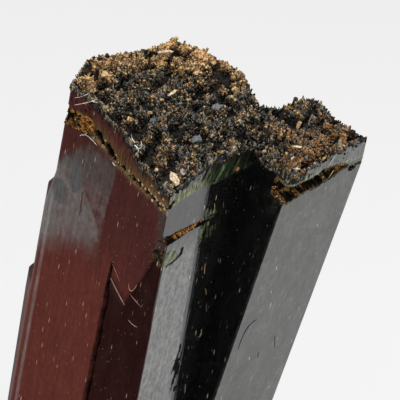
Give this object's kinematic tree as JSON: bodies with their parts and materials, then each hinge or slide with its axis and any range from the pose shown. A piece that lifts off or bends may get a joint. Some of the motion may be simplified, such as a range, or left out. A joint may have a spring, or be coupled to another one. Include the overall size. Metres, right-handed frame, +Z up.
{
  "type": "aegirine crystal",
  "caption": "Black aegirine mineral specimen: two long glossy prisms grown together, with a rough rusty crust of tiny crystals on their ends, standing upright on a flat cut base.",
  "frame": {"origin": "centre line of the larger prism, on the flat face where the crystal is cut off", "axes": "+Z runs up the larger prism, the front edge between its two best faces points to -Y, and the second prism stands on its +X side and leans to +X"},
  "size_m": [0.0317, 0.0214, 0.0613],
  "materials": {
    "crystal": "glossy striated faces, rough rusty end crust"
  },
  "bodies": {
    "root": {"aegirine_crystal": "crystal"}
  },
  "joints": []
}
